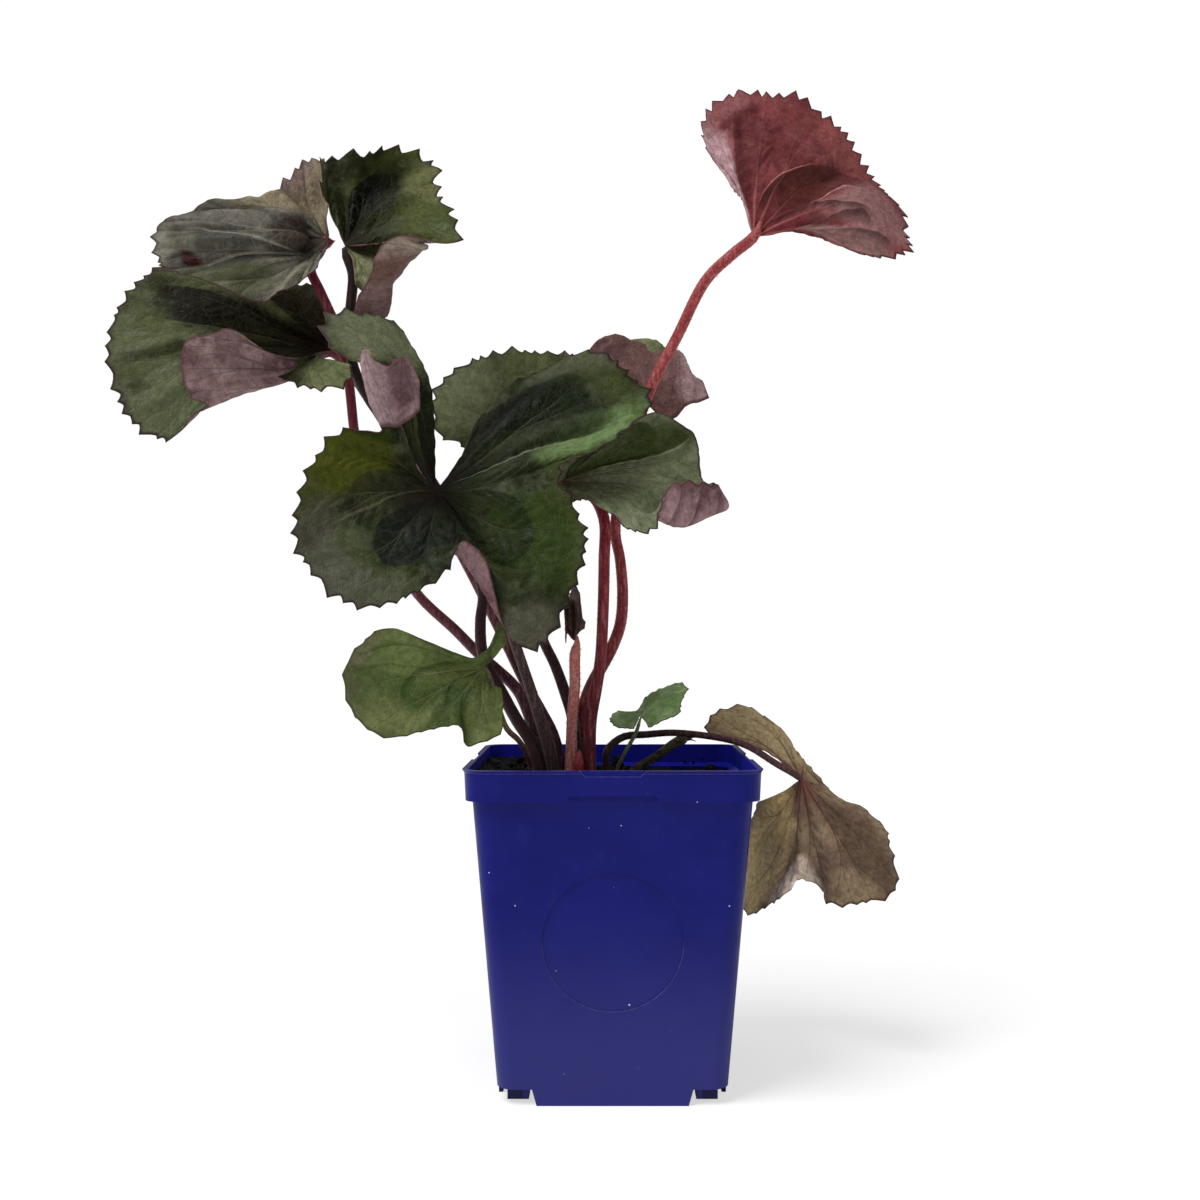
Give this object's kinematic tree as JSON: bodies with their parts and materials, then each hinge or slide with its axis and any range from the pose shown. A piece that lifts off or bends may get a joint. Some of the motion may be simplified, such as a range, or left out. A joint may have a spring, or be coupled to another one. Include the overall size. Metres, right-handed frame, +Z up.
{
  "type": "potted ligularia",
  "caption": "Leafy perennial with broad toothed leaves on long stems, in a square plastic nursery pot filled with soil.",
  "frame": {"origin": "middle of the pot's underside, on the surface that the pot stands on", "axes": "+Z up, -Y towards the front wall of the pot with the bare round panel, +X to the right seen from the front"},
  "size_m": [0.3238, 0.1173, 0.3956],
  "materials": {
    "pot_plastic": "satin violet-blue moulded plastic",
    "potting_soil": "dark, moist, crumbly peat",
    "leaf_green": "dark green leaf, a little glossy, with purple near the veins",
    "leaf_grey_green": "dull grey-green leaf with soft hairs",
    "leaf_purple_back": "burgundy leaf underside with pale pink veins",
    "leaf_fresh_green": "young bright green leaf",
    "leaf_olive": "fading olive leaf with reddish veins",
    "stem_pink": "pinkish red stem with fine hairs",
    "dead_wood": "dry dark brown fibres"
  },
  "bodies": {
    "root": {"pot": "pot_plastic", "soil": "potting_soil", "leaf_burgundy": "leaf_purple_back", "leaf_cup": "leaf_green", "leaf_grey": "leaf_grey_green", "leaf_broad": "leaf_green", "leaf_front": "leaf_green", "leaf_behind": "leaf_green", "leaf_right": "leaf_green", "leaf_round": "leaf_fresh_green", "leaf_seedling": "leaf_fresh_green", "leaf_drooping": "leaf_olive", "leaf_withered": "stem_pink", "dead_stalk": "dead_wood"}
  },
  "joints": []
}
